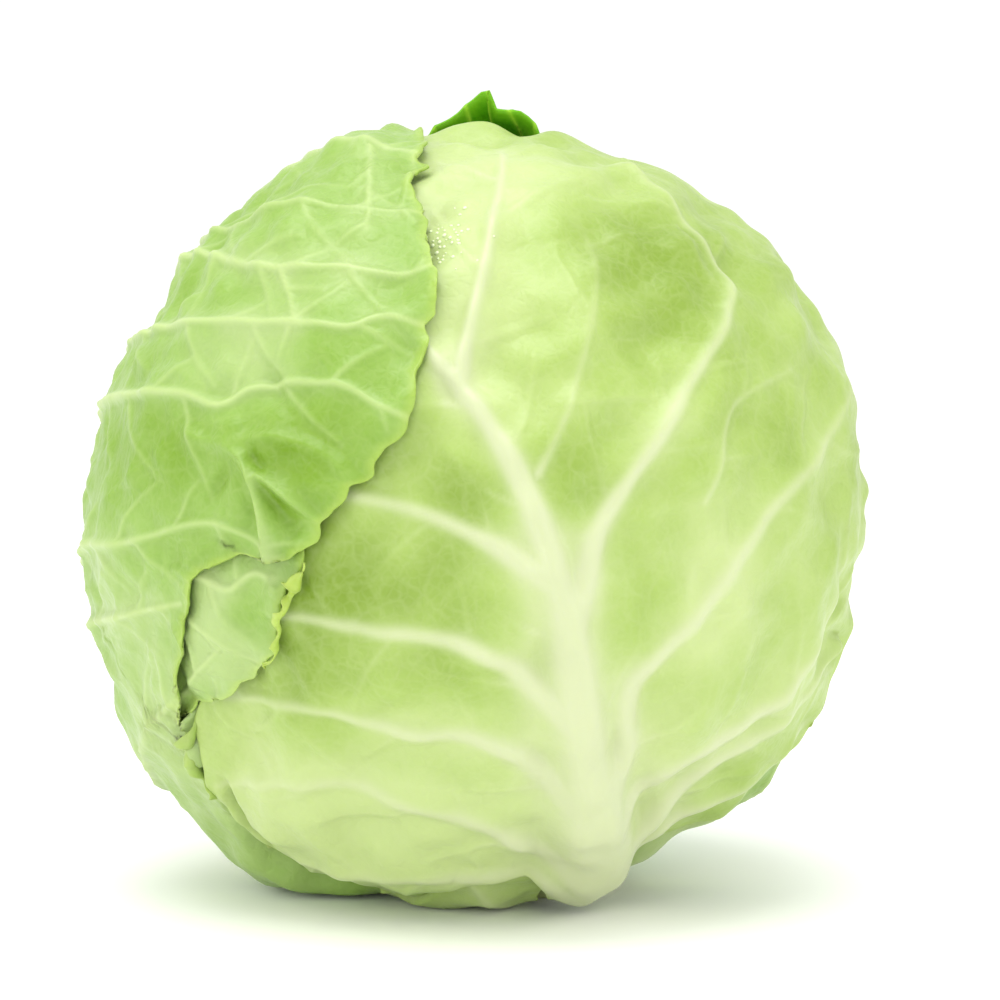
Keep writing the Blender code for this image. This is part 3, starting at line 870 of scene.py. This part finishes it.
sideVein = (0.0018, 0.0009), (0.0016, 0.0009), (1, 0.7)
crossVein = (0.0008, 0.0006), (0.0009, 0.0008), (0.7, 0.5)
leftLeaf = {
    "seed": 15,
    "centre": (-88, 24),
    "outline": [(-100, -78), (-60, -76), (-46, -68), (-48, -60), (-52, -52), (-54, -46), (-54, -40),
                (-56, -35), (-57.8, -31), (-59.6, -28), (-60.8, -25.5), (-60.8, -22.5), (-58.5, -18.1),
                (-53.7, -13.6), (-51.2, -9.7), (-48.4, -5.8), (-47.5, -4.1), (-44.4, -0.9), (-43.6, 2.3),
                (-41.8, 3.3), (-39.2, 3.7), (-36.6, 4.6), (-34, 5.3), (-31.3, 4.9), (-29.3, 3.9),
                (-27.4, 3.2), (-25.6, 3.5), (-24.2, 4.4), (-22.4, 4.7), (-20.9, 5.2), (-19.9, 6.6),
                (-19.6, 8.1), (-17.8, 8.9), (-16.4, 9.4), (-15.6, 10.4), (-14.6, 12.1), (-12, 13),
                (-11, 15), (-8, 17), (-5, 19), (-4, 21), (-3, 26), (-2, 29), (0, 31), (-1, 33), (1, 34),
                (2, 37), (3, 41), (3, 44), (2, 48), (3, 51), (4, 53), (3, 56), (1, 61), (2, 62), (3, 64),
                (9, 67), (12, 72), (16, 77), (30, 84), (180, 86), (-175, 72), (-176, 50), (-174, 25),
                (-172, 0), (-168, -28), (-160, -52), (-158, -68), (-150, -76)],
    "blur": 2,
    "radius": 0.0905,
    "swellings": [(-92, -44, 0.0048, 38), (-90, -26, 0.0042, 22), (-96, -52, 0.0036, 24),
                  (-10, 40, 0.001, 50), (-90, 45, -0.0045, 45)],
    "puffs": [(0.0005, 0.012), (0.0009, 0.034)],
    "frill": (0.0009, 0.014, 0.88),
    "scallops": (0.0005, 0.007),
    "over": ["backLeaf", "frontLeaf", "underLeaf"],
    "under": ["frontLeaf"],
    "tuck": (-23.5, -27.5),
    "blade": 0.0013,
    "gap": 0.0010,
    "cells": 270,
    "crowd": ([(0.85, 0.35, 2.5)], [(0.0, 0.4, 1.5)]),
    # The patch at (-68, -29) is painted light: it pales the lower part, which lies in shade.
    "patches": [(-26, 22, 0.3, 9), (-18, 16, 0.2, 7), (-57, 14, 0.2, 12), (-30, 33, -0.3, 8),
                (-31, 29, -0.2, 8), (-60, -6, -0.35, 12), (-68, -29, -0.5, 19), (-42, 22, 0.25, 9),
                (-8, 33, 0.15, 10)],
    "folds": [
        ([(-34, 20), (-31, 18), (-29.5, 16), (-28.6, 13), (-27.8, 10), (-27.4, 7), (-28, 4), (-27.8, 1)],
         (0, 0.0030, 0.0042, 0.0050, 0.0052, 0.0050, 0.0044), 0.0015, 1.4),
        ([(-30.5, 18), (-27.6, 15), (-24, 11.8), (-22, 9.6), (-20.3, 8)],
         (0, 0.0028, 0.0034, 0.0030, 0.0014), 0.0014, 1.4),
        ([(-34, 20), (-28, 20.5), (-22, 19), (-17.5, 16.5), (-15, 13)], (0, 0.0016, 0.0018, 0.0012),
         0.0018),
        ([(-28.5, 15), (-26, 11), (-24.3, 7.5)], (0, -0.0016, -0.0010), 0.0024),
        ([(-29.2, 17.4), (-28.4, 16.2)], (-0.0020, -0.0020), 0.0017),
        ([(-32, 18), (-35.5, 15.6), (-39, 12.5)], (0, -0.0016, 0), 0.0018),
        ([(-30, 13), (-31, 10), (-31.5, 8)], (0, -0.0014, 0), 0.0022),
        ([(-30, 33), (-26, 28), (-24, 24)], (0, -0.0012, 0), 0.0022),
        ([(-44, 24), (-38, 21), (-34, 20)], (0, 0.0014, 0.0010), 0.0016),
    ],
    # How much painted shade the fold valleys get, and how much painted highlight the fold crests get.
    "foldShade": 0.2,
    "veins": [
        ([(-108, -78), (-114, -60), (-118, -40), (-126, -10), (-130, 10), (-126, 34), (-118, 56),
          (-90, 72), (-36, 75), (0, 72), (8, 70)], (0.0045, 0.0006), (0.0065, 0.0010), (1, 0.7)),
        ([(-126, 34), (-112, 50), (-90, 56), (-59, 58), (-30, 58), (-10, 56), (4, 54)],
         (0.0020, 0.0015, 0.0009), (0.0015, 0.0012, 0.0009), (0.9, 0.7, 0.5)),
        ([(-128, 24), (-115, 38), (-95, 48), (-69, 53), (-42, 49), (-28, 46), (-13, 44), (-4, 42),
          (4, 42)], *sideVein),
        ([(-130, 14), (-118, 26), (-100, 34), (-73, 39), (-46, 39), (-22, 36), (-13, 34), (-8, 35),
          (-1, 33)], (0.0020, 0.0010), (0.0016, 0.0009), (1, 0.7)),
        ([(-130, 5), (-108, 20), (-86, 27), (-54, 29), (-43, 28), (-36, 26), (-29, 28), (-15, 26),
          (-9, 22), (-4, 19)], (0.0026, 0.0018, 0.0011), (0.0017, 0.0014, 0.0010), (0.9, 0.8, 0.6)),
        ([(-128, -18), (-100, 0), (-77, 7), (-57, 8), (-40, 10), (-33, 8), (-27, 4)],
         (0.0022, 0.0016, 0.0010), (0.0016, 0.0013, 0.0010), (0.9, 0.7, 0.5)),
        ([(-124, -32), (-100, -12), (-83, -5), (-58, -2), (-47, -1)], *sideVein),
        ([(-118, -48), (-95, -32), (-75, -22), (-58, -16)], *sideVein),
        ([(-28, 46), (-24, 40), (-22, 36)], *crossVein),
        ([(-13, 72), (-10, 56), (-10, 51)], *crossVein),
        ([(-130, 12), (-146, 26), (-160, 40), (-172, 56)], *sideVein),
        ([(-127, -12), (-142, 4), (-156, 14), (-170, 26)], *sideVein),
        ([(-122, -36), (-138, -22), (-152, -12), (-168, -4)], *sideVein),
        ([(-116, -56), (-134, -46), (-150, -38), (-164, -30)], (0.0017, 0.0009), (0.0016, 0.0009),
         (1, 0.7)),
    ],
}
leaves["leftLeaf"] = Leaf(leftLeaf)

foldLeaf = {
    "seed": 17,
    "centre": (-66, -36),
    "outline": [(-68, -62), (-56, -56), (-51, -45), (-48, -30), (-47, -20), (-56, -15.5), (-66, -15),
                (-78, -22), (-86, -35), (-84, -50), (-78, -60)],
    "radius": 0.0925,
    "under": ["frontLeaf", "leftLeaf", "underLeaf"],
    "puffs": [(0.0004, 0.010)],
    # This patch is painted light: it pales the flap down in the crevice, where it lies in shadow.
    "patches": [(-60, -25, -0.5, 20)],
    "blade": 0.0011,
    "cells": 120,
}
leaves["foldLeaf"] = Leaf(foldLeaf)

print(len(leaves), "leaves laid out")

# Colours are 0 to 255 as on a screen.
# The pale look's deep colour is also the olive of the painted shade at frontLeaf's midrib foot.
paleLook = {
    "pale": (180, 197, 129), "body": (155, 180, 90), "deep": (117, 146, 31),
    "vein": (181, 195, 135), "rib": (192, 200, 157), "edge": (165, 187, 98), "halo": 0.4,
}
greenLook = {
    "pale": (162, 185, 115), "body": (135, 169, 73), "deep": (113, 150, 24),
    "vein": (169, 190, 118), "rib": (177, 196, 129), "edge": (171, 194, 82), "net": 0.9, "relief": 0.55,
}
darkLook = {
    "pale": (124, 176, 44), "body": (90, 152, 16), "deep": (58, 136, 0),
    "vein": (130, 190, 24), "rib": (150, 196, 54), "edge": (130, 190, 36),
    "rough": 0.45, "soft": 0.05, "depth": 0.6, "edgeShow": 0.5, "bloom": 0, "gloss": 0.12,
}
innerLook = {
    "pale": (196, 207, 150), "body": (182, 200, 131), "deep": (165, 186, 103),
    "vein": (201, 211, 165), "rib": (205, 211, 177), "edge": (186, 201, 135),
}
paleFinish = leafFinish("Pale leaf", paleLook)
greenFinish = leafFinish("Green leaf", greenLook)
darkFinish = leafFinish("Dark leaf", darkLook)
innerFinish = leafFinish("Inner leaf", innerLook)

smallVeins = {
    "seed": 31, "spacing": 0.011, "angle": (38, 60), "length": 0.026, "meet": 0.0016, "margin": 0.0012,
    "rise": (0.0006, 0.0004), "width": (0.0010, 0.0009), "tint": (0.5, 0.25),
}

# foldLeaf is the crumpled flap in the crevice, which the solids leave out.
for name, slot, finish, node in [
    ("backLeaf", "dark_leaf", darkFinish, "back_leaf"),
    ("rightLeaf", "green_leaf", greenFinish, "right_leaf"),
    ("underLeaf", "green_leaf", greenFinish, "left_under_leaf"),
    ("frontLeaf", "pale_leaf", paleFinish, "front_leaf"),
    ("leftLeaf", "green_leaf", greenFinish, "left_leaf"),
    ("baseLeaf", "pale_leaf", paleFinish, "base_leaf"),
    ("foldLeaf", "green_leaf", greenFinish, None),
]:
    leaf = leaves[name]
    if leaf.values["cells"] > 120:
        faint = {"tint": (0.28, 0.12), "spacing": 0.016} if name == "frontLeaf" else {}
        leaf.veins += sideVeins(leaf, leaf.veins, dict(smallVeins, **faint))
    settle(buildLeaf(name, leaf, finish), slot, *([node] if node else []))

# The curled rim of underLeaf, and the ruffle down in the crevice beside frontLeaf.
rimLook = dict(greenLook, pale=(184, 202, 116), body=(170, 192, 88), deep=(152, 178, 64),
               edge=(190, 206, 124))
rimFinish = leafFinish("Leaf rim", rimLook)
rimRoll = {
    "seed": 43,
    "path": [(-23.6, 3), (-24.6, 1.4), (-26, -0.4), (-27.2, -2), (-28.4, -3.8), (-30, -5.8),
             (-31.6, -7.6), (-32.2, -9.4), (-34.5, -11.2), (-37.5, -12.4)],
    "roll": (0.0003, 0.0013, 0.0016, 0.0013, 0.0015, 0.0011, 0.0011, 0.0007, 0.0004, 0.0002),
    "turn": (80, 230, 280, 200, 260, 180, 230, 150, 120, 60),
    "lift": (0.0004, 0.0004, 0.0003, 0.0002, 0.0001, -0.0001, -0.0003),
    "across": (0.0002, -0.0002, -0.0002, -0.0004),
    "sway": 0.0003, "wave": 0.0048, "thick": 0.0006, "arcs": 14,
}
settle(rolledEdge("underLeafRim", leaves["underLeaf"], rimRoll, rimFinish), "green_leaf")

creaseRoll = {
    "seed": 47,
    "path": [(-57, -17), (-58.7, -19.5), (-59.9, -22), (-60.8, -24.5), (-61.5, -27), (-62.4, -30),
             (-63.8, -34)],
    "roll": (0.0003, 0.0014, 0.0014, 0.0018, 0.0018, 0.0012, 0.0003),
    "turn": (60, 200, 160, 220, 200, 150, 60),
    "lift": (-0.0022, -0.0016, -0.0014, -0.0018, -0.0026), "across": (0.0004, 0.0006, 0.0004, 0.0002),
    "sway": 0.0003, "wave": 0.0060, "thick": 0.0007, "arcs": 14,
}
settle(rolledEdge("creaseRim", leaves["frontLeaf"], creaseRoll, paleFinish), "pale_leaf")

dewLook = {
    "seed": 5, "centre": (5, 48), "spread": 3.6, "lon": (-3, 16), "lat": (39, 57),
    "Density": 900000.0, "Smallest": 0.0002, "Largest": 0.00055,
}
dewFinish = Finish("Dew")
dewRough = 0.04 + dewFinish.noise(0.0004) * 0.06
dewFinish.done(Base_Color=linear(212, 226, 176), Roughness=dewRough, Coat_Weight=0.6)
settle(dewDrops("dewDrops", leaves["frontLeaf"], dewLook, dewFinish.material), "pale_leaf")

for name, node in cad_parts.items():
    if name.startswith("inner_leaf") or name == "heart":
        node.data.materials.clear()
        node.data.materials.append(innerFinish)
        print(name, "keeps its solid")


def buildStem(name, look, material):
    # a cut stalk: a ringed, slightly dished cut face, a knife's bevel and a scarred side
    around, rings = look["around"], look["rings"]
    angle = np.linspace(0, math.tau, around, endpoint=False)
    low, high = look["box"]
    radius, tall = (high - low)[1] / 2, high[2]
    profilePoints = [(share * 0.955, 0.00015 + 0.0005 * (1 - share ** 3))
                     for share in np.linspace(0, 1, rings)[1:]]
    profilePoints += [(0.985, 0.0004), (1.0, 0.0012)]
    for share in np.linspace(0, 1, 40)[1:]:
        girth = np.interp(share, look["heights"], look["girths"])
        profilePoints.append((girth, 0.0012 + share * (tall - 0.003)))
    profilePoints += [(0.2, tall - 0.0009), (0.1, tall - 0.0003)]
    points = [(0, 0, 0.0005)]
    for share, height in profilePoints:
        reach = share * radius
        spots = np.stack([np.cos(angle) * reach, np.sin(angle) * reach, np.full(around, height)], -1)
        dent = undulation(spots, 0.005, look["seed"]) * (0.00005 if height < 0.001 else 0.00025)
        if height < 0.001:
            spots[:, 2] = np.maximum(spots[:, 2] + dent, 0.0001)
        else:
            spots[:, :2] *= (1 - np.abs(dent) / radius * (height < tall - 0.001))[:, None]
        points += spots.tolist()
    points.append((0, 0, tall - 0.0002))
    points = np.array(points)
    points[:, :2] += points[:, 2:] * middle[:2] / middle[2]
    rows = len(profilePoints)
    faces = [(0, 1 + (k + 1) % around, 1 + k) for k in range(around)]
    for row in range(rows - 1):
        for k in range(around):
            a, b = 1 + row * around + k, 1 + row * around + (k + 1) % around
            faces.append((a, b, b + around, a + around))
    last, top = 1 + (rows - 1) * around, len(points) - 1
    faces += [(last + k, last + (k + 1) % around, top) for k in range(around)]
    return newPiece(name, points, faces, material)


def stemFinish(name, look):
    # pale flesh, a ring of strands near the rind, fine rays, and browner at the cut's edge
    finish = Finish(name)
    flat = finish.node("ShaderNodeVectorMath", {"operation": "MULTIPLY"}, {0: finish.here, 1: (1, 1, 0)})
    out = finish.node("ShaderNodeVectorMath", {"operation": "LENGTH"}, {0: flat}, "Value")
    bend = finish.noise(0.006, 3)
    out = out + (bend - 0.5) * 0.0012
    at = look["ring"]
    ring = out.between(at - 0.0016, at) * (1 - out.between(at, at + 0.0012))
    strands = finish.cells(0.0011, "F1").between(0.15, 0.4)
    rays = finish.noise(0.0007, 3, 0.6)
    colour = finish.mix(ring * (1 - strands * 0.6), linear(*look["flesh"]), linear(*look["strand"]))
    colour = finish.mix((rays - 0.3) * 0.3, colour, linear(*look["pith"]))
    colour = finish.mix(out.between(at + 0.001, at + 0.0035), colour, linear(*look["rind"]))
    colour = finish.mix(finish.noise(0.009, 4, 0.7).between(0.55, 0.8) * 0.35, colour, linear(*look["dry"]))
    normal = finish.bump(rays * 0.5 + strands * 0.5, 0.0003, 0.5)
    return finish.done(Base_Color=colour, Roughness=0.55 + (rays - 0.5) * 0.25, Normal=normal,
                       Subsurface_Weight=0.15, Subsurface_Radius=(0.002, 0.002, 0.001),
                       Subsurface_Scale=1.0)


stemLook = {
    "seed": 61, "around": 120, "rings": 34, "box": np.array(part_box("stem")), "ring": 0.0106,
    "heights": (0, 0.1, 0.23, 0.47, 0.79, 1), "girths": (1, 0.96, 0.86, 0.66, 0.48, 0.3),
    "flesh": (224, 228, 192), "pith": (236, 238, 214), "strand": (184, 190, 120), "rind": (192, 204, 138),
    "dry": (200, 184, 132),
}
settle(buildStem("cutStem", stemLook, stemFinish("Stem flesh", stemLook)), "stem_flesh", "stem")

floorLook = {"tint": linear(255, 255, 255), "half": 12.0}
half = floorLook["half"]
floorFinish = Finish("Floor")
below = floorFinish.node("ShaderNodeNewGeometry", output="Backfacing")
floorFinish.done(Base_Color=floorLook["tint"], Roughness=1.0, Specular_IOR_Level=0.0, Alpha=1 - below)
corners = [(-half, -half, 0), (half, -half, 0), (half, half, 0), (-half, half, 0)]
floor = newPiece("floor", corners, [(0, 1, 2, 3)], floorFinish.material)

scene = bpy.context.scene
world = bpy.data.worlds.new("World")
scene.world = world
world.use_nodes = True
background = world.node_tree.nodes["Background"].inputs
background["Color"].default_value = (1, 1, 1, 1)
background["Strength"].default_value = 1.05
scene.view_settings.view_transform = "Standard"


def softBox(name, place, aim, size, power):
    light = bpy.data.lights.new(name, "AREA")
    light.size = size
    light.energy = power
    lamp = bpy.data.objects.new(name, light)
    lamp.location = place
    lamp.rotation_euler = (Vector(aim) - Vector(place)).to_track_quat("-Z", "Y").to_euler()
    linkObject(lamp)


softBox("Top softbox", (-0.12, -0.15, 1.2), (-0.02, 0, 0.09), 0.9, 9)
softBox("Front softbox", (-0.5, -1.6, 0.5), (-0.02, 0, 0.06), 0.8, 4)
softBox("Right softbox", (0.9, -0.5, 0.25), (0.06, 0, 0), 0.5, 1.6)
softBox("Left softbox", (-0.95, -0.3, 0.25), (-0.12, 0, 0), 0.5, 1.0)
print("studio lit")

cameraLook = {"lens": 150, "sensor": 36, "aim": (0.0058, 0, 0.0023), "away": 0.968, "rise": math.radians(6)}
lens = bpy.data.cameras.new("Camera")
lens.lens = cameraLook["lens"]
lens.sensor_width = cameraLook["sensor"]
camera = bpy.data.objects.new("Camera", lens)
target = Vector(middle) + Vector(cameraLook["aim"])
rise = cameraLook["rise"]
camera.location = target + Vector((0, -math.cos(rise), math.sin(rise))) * cameraLook["away"]
camera.rotation_euler = (target - camera.location).to_track_quat("-Z", "Y").to_euler()
linkObject(camera)
scene.camera = camera
